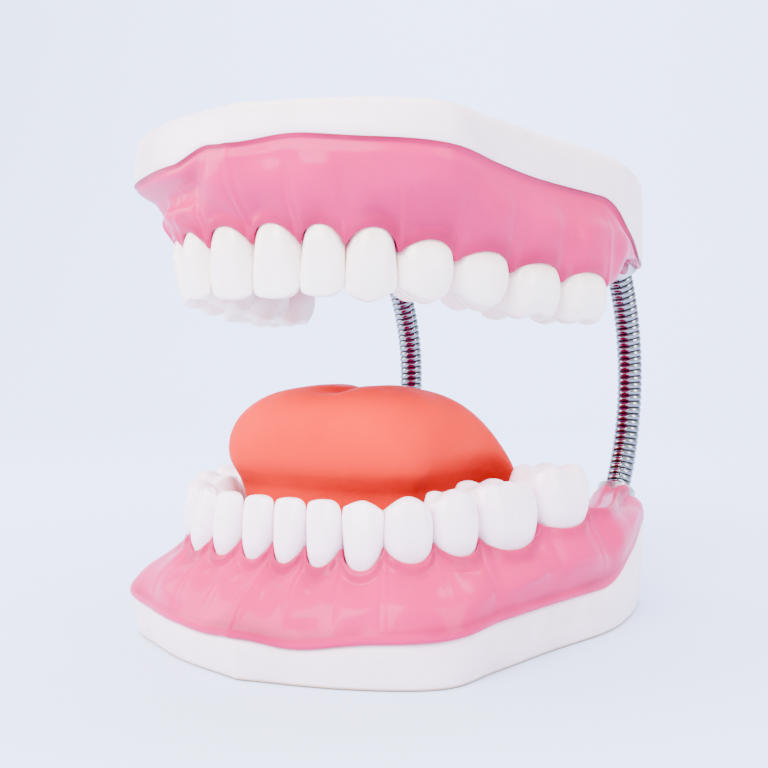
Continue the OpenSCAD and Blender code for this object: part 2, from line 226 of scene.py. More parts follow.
def contacts(jaw):
    """The points where each tooth touches the next, from the midline back."""
    arch, xs = jaw["arch"], [0.0]
    for row in jaw["teeth"]:
        low, high = xs[-1], xs[-1] + row[0]
        for _ in range(30):
            middle = (low + high) / 2
            chord = math.dist((middle, arch_y(arch, middle)), (xs[-1], arch_y(arch, xs[-1])))
            low, high = (middle, high) if chord < row[0] else (low, middle)
        xs.append(low)
    return np.array([(x, arch_y(arch, x)) for x in xs])


def rim_z(x, y):
    """Height of the line where base and gum meet."""
    s = y / JAW_LENGTH
    dip = 2 * smooth(abs(x) / 20) * (1 - smooth(y / 45))
    heel = HEEL_RISE * smooth((s - 0.6) / 0.3) * (0.15 + 0.85 * smooth((abs(x) - 26) / 14))
    return RIM_HEIGHT - dip + 0.5 * smooth(s) + heel


def pushed_corner(p, corner):
    """How far the right front corner of a base stands out at an outline point."""
    s = p[1] / JAW_LENGTH
    return corner * smooth((s - 0.08) / 0.08) * (1 - smooth((s - 0.16) / 0.27))


def hand_cast(jaw, rings):
    """The line where base and gum meet wanders, as it does on a hand-finished model."""
    rings = np.array(rings, float)
    x, y, z = rings[..., 0], rings[..., 1], rings[..., 2]
    front = 1 - eased((y - 30) / 30)
    right = front * eased((-x - 6) / 16)
    left = front * eased((x - 10) / 25)
    sides = (1 - front) * (1 - eased((y - 105) / 30))
    right_rise, left_rise, side_rise = jaw["rise"]
    lift = right_rise * right + left_rise * left + side_rise * sides
    lift = lift * eased((z - 2) / 7) * (1 - eased((z - 15) / 11))
    tuck = jaw["tuck"] * right * eased((z - 10.5) / 4) * (1 - eased((z - 17) / 10))
    reach = np.hypot(x, y - 60) + 1
    x = x - tuck * x / reach
    # The sides ease off before the object's full width, which they never pass.
    soft = cad_box[1][0] / MM - SIDE_EASE - 0.05
    beyond = np.maximum(abs(x) - soft, 0)
    rings[..., 0] = np.sign(x) * (np.minimum(abs(x), soft) + SIDE_EASE * np.tanh(beyond / SIDE_EASE))
    rings[..., 1] = y - tuck * (y - 60) / reach
    rings[..., 2] = z + lift
    return rings


# ---- Meshes -----------------------------------------------------------------------------


def close_up(obj):
    """Merges the seam and the poles of a skin and points all its faces outwards."""
    bpy.ops.object.select_all(action="DESELECT")
    bpy.context.view_layer.objects.active = obj
    obj.select_set(True)
    bpy.ops.object.mode_set(mode="EDIT")
    bpy.ops.mesh.select_all(action="SELECT")
    bpy.ops.mesh.remove_doubles(threshold=0.01 * MM)
    bpy.ops.mesh.normals_make_consistent(inside=False)
    bpy.ops.object.mode_set(mode="OBJECT")


def subdivide_once(obj):
    mod = obj.modifiers.new("smooth", "SUBSURF")
    mod.levels = mod.render_levels = 1
    bpy.ops.object.modifier_apply(modifier=mod.name)


def wrap(name, rings, place, tints=None, subdivided=False):
    """A closed skin over rings of equal count: a grid is added, wrapped round them and sewn
    up along its seam and at its two poles. tints is a value for each ring point."""
    rings = np.array(rings, float)
    rows, count = rings.shape[:2]
    bpy.ops.object.select_all(action="DESELECT")
    bpy.ops.mesh.primitive_grid_add(x_subdivisions=count, y_subdivisions=rows - 1, size=1)
    obj = bpy.context.object
    obj.name = obj.data.name = name
    tint = obj.data.attributes.new("tint", "FLOAT", "POINT")
    for v in obj.data.vertices:
        i = round((v.co.x + 0.5) * count) % count
        j = round((v.co.y + 0.5) * (rows - 1))
        v.co = place(rings[j][i])
        tint.data[v.index].value = 0 if tints is None else tints[j][i]
    close_up(obj)
    if subdivided:
        subdivide_once(obj)
    bpy.ops.object.shade_smooth()
    return obj


def refined(rings, tints):
    """Twice the rows and twice the points in each ring, on smooth curves; the two poles stay."""
    inner = spline(rings[1:-1], 2)
    rings = np.concatenate([rings[:1], inner, rings[-1:]])
    before, after = np.roll(rings, 1, axis=1), np.roll(rings, -1, axis=1)
    between = (9 * (rings + after) - before - np.roll(rings, -2, axis=1)) / 16
    fine = np.stack([rings, between], axis=2).reshape(len(rings), -1, 3)
    rows = np.concatenate([[0], np.linspace(1, len(tints) - 2, len(inner)), [len(tints) - 1]])
    column = np.interp(rows, range(len(tints)), tints[:, 0])
    return fine, np.repeat(column[:, None], fine.shape[1], axis=1)


def pole(point, count):
    """A ring gathered into one point."""
    return [tuple(point)] * count


def capped(rings, tints, foot, top):
    """Rings and tints with a pole before the first ring and one after the last."""
    count = len(rings[0])
    return [pole(foot, count)] + rings + [pole(top, count)], [tints[0]] + tints + [tints[-1]]


# ---- Stations round a jaw ---------------------------------------------------------------
# A jaw's skins share the same stations: 16 for each tooth, so that one falls on each contact,
# then the pads and the rear. Each holds its place on the outline, on the crest and inside.

PER_TOOTH = 16
REAR_STATIONS = 56
LAST = len(TOOTH_WORDS) - 1
# Shares of the outline and of the gum's foot that lie beside the teeth.
OUTLINE_REACH = 0.56
FOOT_REACH = 0.6
# How far the gum climbs between two teeth, at the front and from the second premolar back.
PAPILLA_FRONT = 4.4
PAPILLA_BACK = 3.6


def crest_path(jaw):
    """From the last tooth over the pad, where the neck enters, to the rear midline."""
    half, back = JAW_WIDTH / 2, jaw["arch"][0] + jaw["arch"][2]
    heel = (JAW_LENGTH - 9 - back) / 3
    end = contacts(jaw)[-1]
    last = jaw["teeth"][-1][2]
    return spline([
        (end[0] - 1.2, end[1], last + 2.5),
        (half * 0.89, back + heel, (last + 2 + jaw["pad"]) / 2),
        ((half * 0.84 + NECK_SPACING / 2) / 2, back + 2 * heel, jaw["pad"]),
        (NECK_SPACING / 2 - 1, NECK_BACK + 1, jaw["pad"]),
        (half * 0.45, JAW_LENGTH - 8, jaw["floor"] + 3),
        (0, JAW_LENGTH - 7, jaw["floor"]),
    ], 12)


def foot_path(jaw):
    """The foot of the gum on the tongue side."""
    half, arch = JAW_WIDTH / 2, jaw["arch"]
    back = arch[0] + arch[2]
    return spline([
        (0, arch[0] + 20), (arch[1] * 0.26, arch[0] + 20.5), (arch[1] * 0.46, arch[0] + 24),
        (arch[1] * 0.57, arch[0] + 34), (arch[1] * 0.64, arch[0] + 52),
        (arch[1] * 0.68, back - 2), (half * 0.66, JAW_LENGTH * 0.74),
        (half * 0.56, JAW_LENGTH * 0.83), (half * 0.44, JAW_LENGTH * 0.88),
        (half * 0.24, JAW_LENGTH * 0.9), (0, JAW_LENGTH * 0.9),
    ], 12)


def stations(jaw):
    """One dictionary for each station of the half loop, from the front midline back."""
    touch, teeth = contacts(jaw), jaw["teeth"]
    outline = spline([(x * JAW_WIDTH / 2, y * JAW_LENGTH) for x, y in OUTLINE], 24)
    arch_shares = []
    total = sum(row[0] for row in teeth)
    for k, row in enumerate(teeth):
        start = sum(r[0] for r in teeth[:k])
        arch_shares += [(start + row[0] * j / PER_TOOTH) / total for j in range(PER_TOOTH)]
    rear_shares = [j / REAR_STATIONS for j in range(REAR_STATIONS + 1)]
    outer = at_shares(outline, [OUTLINE_REACH * s for s in arch_shares]
                      + [OUTLINE_REACH + (1 - OUTLINE_REACH) * s for s in rear_shares])
    outer_normal = normals(outer)
    foot = at_shares(foot_path(jaw), [FOOT_REACH * s for s in arch_shares]
                     + [FOOT_REACH + (1 - FOOT_REACH) * s for s in rear_shares])
    crest = at_shares(crest_path(jaw), rear_shares)
    crest_normal = normals(np.vstack([touch[-2:-1], crest[:, :2]]))[1:]
    out = []
    for i, o in enumerate(outer):
        s = {"outer": o, "outer_normal": outer_normal[i], "foot": foot[i], "rim": rim_z(*o),
             "shift": pushed_corner(o, jaw["corner"])}
        if i < len(arch_shares):
            k, j = divmod(i, PER_TOOTH)
            phase = j / PER_TOOTH
            edge = abs(2 * phase - 1)
            depth, neck = teeth[k][1:3]
            along = touch[k + 1] - touch[k]
            other = teeth[max(0, k - 1) if phase < 0.5 else min(LAST, k + 1)][2]
            peak = (neck + other) / 2 + (PAPILLA_FRONT if k < 4 else PAPILLA_BACK)
            if phase > 0.5:
                turn = touch[min(LAST + 1, k + 2)] - touch[k]
            elif k > 0:
                turn = touch[k + 1] - touch[k - 1]
            else:
                turn = np.array([1.0, 0.0])
            mixed = (1 - edge ** 2) * along / np.linalg.norm(along)
            mixed = mixed + edge ** 2 * turn / np.linalg.norm(turn)
            mixed /= np.linalg.norm(mixed)
            round_face = (1 - edge ** 2.6) ** (1 / 2.6)
            middle = LABIAL_REACH - depth / 2
            s.update(
                crest=touch[k] + along * phase, normal=np.array([mixed[1], -mixed[0]]),
                margin=neck + (peak - neck) * edge ** 2.3, col=edge ** 4, tooth=k, edge=edge,
                face_out=max(middle + 0.43 * depth * round_face, 0.2),
                face_in=min(middle - 0.43 * depth * round_face, middle - 0.26 * depth),
                middle=middle, rear=0.0,
            )
        else:
            j = i - len(arch_shares)
            c, r = crest[j], rear_shares[j]
            last_depth = teeth[-1][1]
            blend = smooth(r / 0.12)
            s.update(
                crest=c[:2], normal=crest_normal[j], margin=c[2] + 1.2 * (1 - blend),
                col=1.0, tooth=LAST, edge=1.0, face_out=0.2 + 3.3 * blend,
                face_in=(LABIAL_REACH - 0.76 * last_depth) * (1 - blend) - 3.5 * blend,
                middle=(LABIAL_REACH - last_depth / 2) * (1 - blend), rear=r,
            )
        out.append(s)
    return out


def whole_loop(half_rows, points):
    """Whole rings from rows of the left half, each with how much it follows the pushed-out
    corner: the +X side back, then its mirror image forwards with the corner."""
    out = []
    for row, keep in half_rows:
        right = [(-p[0] - s["shift"] * keep, *p[1:]) for p, s in zip(row[-2:0:-1], points[-2:0:-1])]
        out.append([tuple(p) for p in row] + right)
    return out


def outline_row(points, inset, z_of):
    """The outline moved outwards by inset, at the height that z_of gives each station."""
    return [(*(s["outer"] + s["outer_normal"] * inset), z_of(s)) for s in points]


# ---- Bases ------------------------------------------------------------------------------


def make_base(jaw):
    """A cast plinth with soft edges, hollow under its roof, with a rebate for the board."""
    points = stations(jaw)
    r, full = jaw["edge_round"], jaw["fullness"]
    seat = RIM_HEIGHT - SEAT_DROP
    rows = [
        outline_row(points, -BASE_WALL, lambda s: HOLLOW_DEPTH),
        outline_row(points, -BASE_WALL, lambda s: COVER_DEPTH + 0.1),
        outline_row(points, COVER_LAP - BASE_WALL - 0.1, lambda s: COVER_DEPTH + 0.1),
        outline_row(points, COVER_LAP - BASE_WALL, lambda s: COVER_DEPTH),
        outline_row(points, COVER_LAP - BASE_WALL, lambda s: 0.1),
        outline_row(points, COVER_LAP - BASE_WALL + 0.15, lambda s: 0),
        outline_row(points, -r - 0.4, lambda s: 0),
        outline_row(points, -r, lambda s: 0),
        outline_row(points, -r * 0.29, lambda s: r * 0.29),
        outline_row(points, 0.1 + 0.8 * full, lambda s: r),
        outline_row(points, 0.75 + 0.5 * full, lambda s: r + (s["rim"] - r) * 0.3),
        outline_row(points, 1.25 + 0.2 * full, lambda s: r + (s["rim"] - r) * 0.6),
        outline_row(points, BASE_FLARE, lambda s: s["rim"] - 1.6),
        outline_row(points, BASE_FLARE - 0.2, lambda s: s["rim"] - 0.6),
        outline_row(points, BASE_FLARE - 1.0, lambda s: s["rim"] - 0.05),
        outline_row(points, BASE_FLARE - 1.9, lambda s: s["rim"] - 0.3),
        outline_row(points, -SEAT_INSET, lambda s: seat),
    ]
    rings = whole_loop([(row, 1.0) for row in rows], points)
    count = len(rings[0])
    rings = [pole((0, HUB_Y, HOLLOW_DEPTH), count)] + rings + [pole((0, HUB_Y, seat), count)]
    obj = wrap(jaw["name"] + "_plinth", hand_cast(jaw, rings), jaw["place"])
    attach(obj, jaw["name"] + "_jaw")
    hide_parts(jaw["name"] + "_base")
    return obj


# ---- Gums -------------------------------------------------------------------------------


def crest_row(points, out_of, z_of):
    """The crest moved outwards by out_of, at the height z_of, both given each station."""
    return [(*(s["crest"] + s["normal"] * out_of(s)), z_of(s)) for s in points]


def mixed_row(a, b, share, belly, points):
    """A row part of the way from one to another, swollen outwards."""
    rows = []
    for p, q, s in zip(a, b, points):
        n = s["outer_normal"] * (1 - share) + s["normal"] * share
        swell = belly(s) * smooth((s["margin"] - s["rim"] - 2) / 9)
        rows.append((p[0] + (q[0] - p[0]) * share + n[0] * swell,
                     p[1] + (q[1] - p[1]) * share + n[1] * swell,
                     p[2] + (q[2] - p[2]) * share))
    return rows


# How strongly each tooth's root shows through the gum, from the midline back.
ROOT_SHOWS = [0.3, 0.35, 0.7, 0.55, 0.6, 0.5, 0.3]


def make_gum(jaw):
    """The gum over its base: up its outer side, over the crest round every tooth, and down to
    the floor of the mouth or the palate."""
    points = stations(jaw)
    upper = jaw["name"] == "upper"

    def draw_in(s):
        """The lip fades into the base's edge towards the heels."""
        return 1 - smooth((s["outer"][1] / JAW_LENGTH - 0.45) / 0.2)

    def low_lip(s):
        """The lip is lower where the gum over the base is, at the heels."""
        return min(1, (s["margin"] - s["rim"]) / 8)

    def root(s):
        return ROOT_SHOWS[s["tooth"]] * (1 - 2 * s["edge"] ** 1.5) * (1 - smooth(s["rear"] / 0.08))

    under = outline_row(points, -SEAT_INSET - 1, lambda s: min(s["rim"], RIM_HEIGHT) - GUM_UNDERLAP)
    if upper:
        edge = [(-0.2, -0.45), (-0.9, 0.25), (-0.8, 1.4), (-0.35, 3.0)]
    else:
        edge = [(-0.9, -0.5), (0.95, 0.0), (1.25, 1.2), (0.75, 2.7)]
    lips = []
    for out, z in edge:
        lips.append([(*(s["outer"] + s["outer_normal"] * (BASE_FLARE + out * (draw_in(s) if out > 0 else 1))),
                      s["rim"] + z * low_lip(s)) for s in points])
    margin_foot = crest_row(
        points, lambda s: s["face_out"] + 1.7 - 0.5 * s["col"], lambda s: s["margin"] - 3.4)
    body = []
    for share, belly in ((0.12, 0.5), (0.26, 1.2), (0.42, 1.8), (0.58, 1.9), (0.74, 1.5), (0.89, 0.7)):
        body.append(mixed_row(
            lips[-1], margin_foot, share,
            lambda s: belly * (1.0 - 0.3 * s["rear"]) + root(s) * smooth(share * 1.3) * 0.9, points))
    collar = [
        crest_row(points, lambda s: s["face_out"] + 1.25 - 0.45 * s["col"], lambda s: s["margin"] - 1.5),
        crest_row(points, lambda s: s["face_out"] + 0.8 - 0.5 * s["col"], lambda s: s["margin"] - 0.45),
        crest_row(points, lambda s: s["face_out"] + 0.3 - 0.5 * s["col"], lambda s: s["margin"]),
        crest_row(points, lambda s: s["face_out"] - 0.5 - 0.5 * s["col"],
                  lambda s: s["margin"] - 1.2 * (1 - s["col"]) + 0.1),
        crest_row(points, lambda s: s["face_out"] - 1.8 - 0.6 * s["col"],
                  lambda s: s["margin"] - 3.2 * (1 - s["col"]) - 0.2),
        crest_row(points, lambda s: s["middle"], lambda s: s["margin"] - 4 * (1 - s["col"]) - 0.9),
        crest_row(points, lambda s: s["face_in"] + 1.8,
                  lambda s: s["margin"] - 3.2 * (1 - s["col"]) - 0.4),
        crest_row(points, lambda s: s["face_in"] + 0.4,
                  lambda s: s["margin"] - 1.2 * (1 - s["col"]) - 0.1),
        crest_row(points, lambda s: s["face_in"] - 0.4, lambda s: s["margin"] - 0.4),
        crest_row(points, lambda s: s["face_in"] - 1.0, lambda s: s["margin"] - 1.6),
    ]
    foot = [(*s["foot"], jaw["floor"]) for s in points]
    slope = [mixed_row(collar[-1], foot, share, lambda s: -belly, points)
             for share, belly in ((0.2, 1.4), (0.4, 2.2), (0.6, 2.2), (0.8, 1.2), (0.93, 0.3))]

    def vault(share):
        """A row of the floor or palate, part of the way in from the gum's foot; folds in the
        palate run across it from a ridge along its middle."""
        row = []
        for s in points:
            x = s["foot"][0] * (1 - share)
            y = s["foot"][1] + (HUB_Y - s["foot"][1]) * share
            z = jaw["floor"] - (0.8 * smooth(share * 2) if upper else 0)
            if upper and y < 75:
                fold = math.sin((y + 0.10 * abs(x)) * 1.15) * (1 - smooth((y - 45) / 22))
                z += 0.55 * fold * smooth((abs(x) - 1.5) / 3) + 0.7 * bell(x / 1.6)
            row.append((x, y, z))
        return row

    floor_rows = [vault(share) for share in (0.1, 0.22, 0.34, 0.46, 0.58, 0.7, 0.82, 0.93)]
    kept = [(row, 1.0) for row in [under] + lips]
    kept += [(row, 1 - share) for row, share in zip(body, (0.12, 0.3, 0.5, 0.7, 0.88, 0.97))]
    kept += [(row, 0.0) for row in [margin_foot] + collar + slope + [foot] + floor_rows]
    rings = whole_loop(kept, points)
    count = len(rings[0])
    rings = ([pole((0, HUB_Y, RIM_HEIGHT - GUM_UNDERLAP), count)] + rings
             + [pole((0, HUB_Y, rings[-1][0][2]), count)])
    # Painted shade: deeper colour in the groove over the base, round the margins and in the vestibule.
    first_body = 2 + len(lips)
    first_collar = 1 + len(lips) + len(body) + 2
    tints = np.zeros((len(rings), count))
    for j in range(len(rings)):
        lip_groove_shade = bell(j - 2) if upper else 0.45 * bell(j - 5)
        margin_shade = 0.55 * bell((j - first_collar - 0.5) / 2.0)
        tints[j, :] = min(1, lip_groove_shade + margin_shade)
    # The outer side swells and sinks a little, over patches of 14 mm.
    rings = np.array(rings, float)
    waves = np.zeros(rings.shape[:2])
    for j in range(first_body, first_collar):
        calm = 1.0 if j > first_body else 0.4
        for i in range(count):
            waves[j, i] = calm * noise.noise(Vector(rings[j, i]) / 14) * 0.9
    for j in range(first_body, first_collar):
        inner = rings[j + 1] - rings[j - 1]
        side = np.stack([-inner[:, 0], -inner[:, 1]], axis=1)
        size = np.linalg.norm(side, axis=1)[:, None] + 1e-6
        rings[j, :, :2] += side / size * waves[j][:, None]
    rings, tints = refined(rings, tints)
    obj = wrap(jaw["name"] + "_gum_skin", hand_cast(jaw, rings), jaw["place"], tints)
    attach(obj, jaw["name"] + "_jaw")
    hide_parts(jaw["name"] + "_gum")
    return obj


# ---- Teeth ------------------------------------------------------------------------------
# Tooth frame: x away from the midline, y towards the tongue, z from the neck to the tip.

# Height share, width share, outer face and inner face as shares of the depth.
FRONT_PROFILE = (
    (-0.58, 0.5, -0.28, 0.28), (-0.3, 0.6, -0.36, 0.36), (0, 0.76, -0.43, 0.43),
    (0.1, 0.83, -0.48, 0.47), (0.25, 0.9, -0.5, 0.44), (0.45, 0.95, -0.465, 0.33),
    (0.65, 0.985, -0.4, 0.17), (0.8, 1, -0.335, 0.07), (0.9, 0.985, -0.285, 0.02),
    (0.96, 0.95, -0.25, -0.01), (1, 0.88, -0.215, -0.045),
)
# Height share, width share and depth share, up to the shoulder of the biting face.
BACK_PROFILE = (
    (-0.6, 0.56, 0.56), (-0.3, 0.68, 0.7), (0, 0.82, 0.84), (0.12, 0.89, 0.93),
    (0.28, 0.95, 0.99), (0.5, 0.99, 1), (0.7, 1, 0.95), (0.85, 0.97, 0.87), (1, 0.9, 0.76),
)
# Cusps of each chewing tooth: x and y as shares of the half width and half depth, drop.
CUSPS = {
    "lower": {
        3: [(0, -0.34, 0), (0, 0.5, 2.6)],
        4: [(0, -0.38, 0), (-0.3, 0.45, 1.0), (0.32, 0.45, 1.3)],
        5: [(-0.52, -0.42, 0), (0.06, -0.46, 0.1), (0.6, -0.36, 0.6), (-0.44, 0.45, 0.2), (0.4, 0.45, 0.4)],
        6: [(-0.45, -0.44, 0), (0.45, -0.44, 0.2), (-0.45, 0.45, 0.3), (0.45, 0.45, 0.5)],
    },
    "upper": {
        3: [(0, -0.42, 0), (-0.05, 0.44, 1.0)],
        4: [(0, -0.42, 0), (-0.05, 0.44, 0.5)],
        5: [(-0.46, -0.45, 0), (0.42, -0.45, 0.3), (-0.34, 0.42, 0.1), (0.5, 0.46, 1.0)],
        6: [(-0.44, -0.45, 0), (0.44, -0.43, 0.4), (-0.28, 0.42, 0.3), (0.5, 0.46, 1.4)],
    },
}
AROUND = 32
FIRST_CHEWING = 3
FIRST_MOLAR = 5
SIDE_SHARE = 0.985


def squarish(angle, power):
    """A unit rounded square: x and y at an angle."""
    c, s = math.cos(angle), math.sin(angle)
    return (math.copysign(abs(c) ** (2 / power), c), math.copysign(abs(s) ** (2 / power), s))


def front_tooth_rings(row, index, upper):
    """Rings of an incisor or canine, from the root's stub to the biting edge."""
    width, depth, neck, tip = row
    height = tip - neck
    heights = [-0.55, -0.4, -0.2, 0, 0.08, 0.17, 0.28, 0.4, 0.52, 0.64, 0.75, 0.84, 0.91, 0.96, 1]
    rings, tints = [], []
    for h in heights:
        w, out, inn = table(FRONT_PROFILE, h)
        half = w * width / 2 * SIDE_SHARE
        ring, tint = [], []
        for i in range(AROUND):
            u, v = squarish(2 * math.pi * i / AROUND, 2.35)
            x = half * u * (1 - 0.3 * max(0, v))
            y = depth * ((out + inn) / 2 + v * (inn - out) / 2)
            side = x / (width / 2)
            if v < 0:
                # Three faint lobes down the outer face, and a soft belly across it.
                y += depth * 0.012 * math.cos(side * 7.5) * smooth(h / 0.4) * -v
            upness = smooth((h - 0.35) / 0.65)
            if index == 2:
                drop = (2.6 if upper else 1.9) * abs(side + 0.06) ** 1.5 + 0.5 * max(0, side)
            else:
                far = 1.5 if index == 1 or upper else 0.8
                drop = 0.3 * side ** 2 + 0.8 * abs(side) ** 3.5 + far * max(0, side) ** 4
            ring.append((x, y, h * height - drop * upness))
            tint.append(bell(h / 0.22))
        rings.append(ring)
        tints.append(tint)
    return rings, tints


def bite_height(x, y, cusps, width, depth, steep):
    """Drop of the biting face below the tip: cusps that meet in fissures."""
    best = -99
    for cx, cy, drop in cusps:
        d2 = (x - cx * width / 2) ** 2 + (y - cy * depth / 2) ** 2
        best = max(best, -drop - steep * d2 / (1 + 0.012 * d2))
    return best


def back_tooth_rings(row, index, jaw_name):
    """Rings of a premolar or molar, from the root's stub up to and over the biting face."""
    width, depth, neck, tip = row
    height = tip - neck
    cusps = CUSPS[jaw_name][index]
    molar = index >= FIRST_MOLAR
    steep, power, taper = (0.105, 3.2, 0.08) if molar else (0.13, 2.7, 0.2)
    rings, tints = [], []

    def shoulder(angle, share):
        w, d = table(BACK_PROFILE, 1)
        u, v = squarish(angle, power)
        x = u * w * width / 2 * share * (1 - taper * max(0, v))
        y = v * d * depth / 2 * share
        return x, y, height + bite_height(x, y, cusps, width, depth, steep)

    for h in (-0.58, -0.4, -0.2, 0, 0.08, 0.17, 0.28, 0.4, 0.52, 0.64, 0.76, 0.87, 0.95, 1):
        w, d = table(BACK_PROFILE, h)
        ring, tint = [], []
        for i in range(AROUND):
            angle = 2 * math.pi * i / AROUND
            u, v = squarish(angle, power)
            x = u * w * width / 2 * SIDE_SHARE * (1 - taper * max(0, v))
            y = v * d * depth / 2
            top = shoulder(angle, 1)[2]
            # A groove runs down the outer and inner faces between the cusps.
            if molar:
                y *= 1 - 0.05 * bell((x + 0.06 * width) / 1.6) * smooth((h - 0.35) / 0.5)
            ring.append((x, y, h * height if h < 0 else h * top))
            tint.append(bell(h / 0.2))
        rings.append(ring)
        tints.append(tint)
    for share in (0.93, 0.85, 0.76, 0.66, 0.55, 0.44, 0.33, 0.22, 0.11):
        ring = [shoulder(2 * math.pi * i / AROUND, share) for i in range(AROUND)]
        rings.append(ring)
        # Painted shade: the biting face darkens and warms with its depth into the fissures.
        depths = [height - p[2] for p in ring]
        tints.append([0.35 * smooth((d - 2.2) / 2.2) for d in depths])
    return rings, tints


def make_tooth(jaw, index):
    """A crown on its stub, made on the left side and copied to the right."""
    touch = contacts(jaw)
    row = jaw["teeth"][index]
    a, b = touch[index], touch[index + 1]
    along = (b - a) / np.linalg.norm(b - a)
    inwards = np.array([-along[1], along[0]])
    centre = (a + b) / 2 + inwards * (row[1] / 2 - LABIAL_REACH)
    front = index < FIRST_CHEWING
    if front:
        rings, tints = front_tooth_rings(row, index, jaw["name"] == "upper")
    else:
        rings, tints = back_tooth_rings(row, index, jaw["name"])
    foot = np.mean(rings[0], axis=0) - (0, 0, 0.3)
    top = np.mean(rings[-1], axis=0) + (0, 0, 0.12 if front else 0)
    rings, tints = capped(rings, tints, foot, top)
    made = []
    for side, word in ((1, "left"), (-1, "right")):
        def place(p, side=side):
            x, y = centre + along * p[0] + inwards * p[1]
            return jaw["place"]((side * x, y, row[2] + p[2]))

        node = f"{jaw['name']}_{word}_{TOOTH_WORDS[index]}"
        obj = wrap(node + "_crown", rings, place, tints, subdivided=True)
        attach(obj, jaw["name"] + "_jaw")
        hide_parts(node)
        made.append(obj)
    return made


# ---- Tongue -----------------------------------------------------------------------------

# Share of height, share of full width, squareness of the plan.
TONGUE_LEVELS = (
    (0, 0.76, 3), (0.16, 0.86, 3.4), (0.36, 0.9, 3.8), (0.5, 0.925, 4.2), (0.6, 0.99, 4.4),
    (0.7, 1, 4.2), (0.8, 0.97, 3.6), (0.89, 0.87, 3), (0.96, 0.66, 2.6), (1, 0.28, 2.2),
)
TONGUE_LEAD = 18
TONGUE_WAIST = 0.09


def make_tongue():
    """A thick tongue that leans forward as it rises and swells out over the teeth."""
    low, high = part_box("tongue")
    half = high.x / MM
    front, rear = low.y / MM + MIDDLE_Y, high.y / MM + MIDDLE_Y
    middle, reach = (front + rear) / 2, (rear - front) / 2
    floor, crown = low.z / MM, high.z / MM
    count = 96
    shares = [0, 0.03, 0.08, 0.16, 0.26, 0.36, 0.44, 0.5, 0.55, 0.6, 0.65, 0.7, 0.75, 0.8,
              0.845, 0.89, 0.925, 0.955, 0.975, 0.99, 1]
    rings, tints = [], []
    for t in shares:
        w, power = table(TONGUE_LEVELS, t)
        ring, tint = [], []
        for i in range(count):
            u, v = squarish(2 * math.pi * i / count, power)
            back = v * w
            waist = TONGUE_WAIST * (1 - smooth((t - 0.56) / 0.12))
            x = half * u * w * (1 - waist * smooth((back + 0.75) / 0.3))
            y = middle - TONGUE_LEAD * t
            y += reach * back * (1 - TONGUE_LEAD * t / reach if back < 0 else 1)
            z = floor + (crown - floor) * t * (1 - 0.32 * smooth((back - 0.15) / 0.85))
            # A median groove parts the two lobes; it is deepest over the crown.
            forward = smooth((y - front - 4) / 18)
            groove = bell(x / 4.6) * forward * smooth((t - 0.72) / 0.2)
            z -= 2.7 * groove
            ring.append((x, y, z))
            # Painted shade: deeper red in the fold at mid height, along the median groove and round the foot
            # where the tongue tucks in.
            crease_shade = bell((t - 0.52) / 0.05) * 0.8 + groove * 0.55 + 0.9 * bell(t / 0.3)
            tint.append(min(1, crease_shade))
        rings.append(ring)
        tints.append(tint)
    rings, tints = capped(rings, tints, (0, middle, floor), np.mean(rings[-1], axis=0))
    obj = wrap("tongue_skin", rings, lower_place, tints, subdivided=True)
    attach(obj, "lower_jaw")
    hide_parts("tongue")
    return obj


# ---- Flexible necks ---------------------------------------------------------------------

hinge = Vector(frame["joints"][0]["pos_m"])
BEND_Y = hinge.y / MM + MIDDLE_Y - NECK_BEND
BEND_Z = hinge.z / MM
RIB_PITCH = 2.1
RIB_DEPTH = 0.62
CORE_GROOVE = 0.15
AROUND_NECK = 28
PER_RIB = 8


def neck_point(side, angle, radius, turn):
    """A point round a neck: angle along the bend, then turn round the neck's own line."""
    reach = NECK_BEND + radius * math.cos(turn)
    return (side * NECK_SPACING / 2 + radius * math.sin(turn),
            BEND_Y + reach * math.cos(angle), BEND_Z + reach * math.sin(angle))


def make_neck(side, word):
    """An outer coil of wound ribs and the plain spring that shows in its grooves."""
    end = math.radians(NECK_HALF_ANGLE) + NECK_GRIP / NECK_BEND
    ribs = round(2 * end * NECK_BEND / RIB_PITCH)
    rows = ribs * PER_RIB
    made = []
    for name, radius, groove in (("coil", NECK_RADIUS, RIB_DEPTH), ("core", CORE_RADIUS, CORE_GROOVE)):
        rings, tints = [], []
        for j in range(rows + 1):
            angle = -end + 2 * end * j / rows
            fade = smooth(min(j, rows - j) / PER_RIB)
            ring, tint = [], []
            for i in range(AROUND_NECK):
                phase = j / PER_RIB + i / AROUND_NECK
                dip = 1 - abs(math.sin(math.pi * phase)) ** 0.55
                turn = 2 * math.pi * i / AROUND_NECK
                ring.append(neck_point(side, angle, radius - groove * dip * fade, turn))
                # Painted shade: the groove's depth darkens the metal between the ribs.
                tint.append(dip)
            rings.append(ring)
            tints.append(tint)
        rings, tints = capped(rings, tints, np.mean(rings[0], axis=0), np.mean(rings[-1], axis=0))
        obj = wrap(f"{word}_neck_{name}_wound", rings, lower_place, tints)
        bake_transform(obj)
        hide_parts(f"{word}_neck_{name}")
        made.append(obj)
    return made


# ---- Materials --------------------------------------------------------------------------


def linear(code):
    """An sRGB hex colour as linear RGBA."""
    channels = [int(code[i:i + 2], 16) / 255 for i in (1, 3, 5)]
    return (*[c / 12.92 if c <= 0.04045 else ((c + 0.055) / 1.055) ** 2.4 for c in channels], 1)


def add(tree, kind, links=None, **settings):
    """Adds a node, sets what it is given, and links its inputs from other nodes' outputs."""
    node = tree.nodes.new("ShaderNode" + kind)
    for key, value in settings.items():
        if hasattr(node, key):
            setattr(node, key, value)
        else:
            node.inputs[key.replace("_", " ")].default_value = value
    for key, source in (links or {}).items():
        tree.links.new(source, node.inputs[key])
    return node


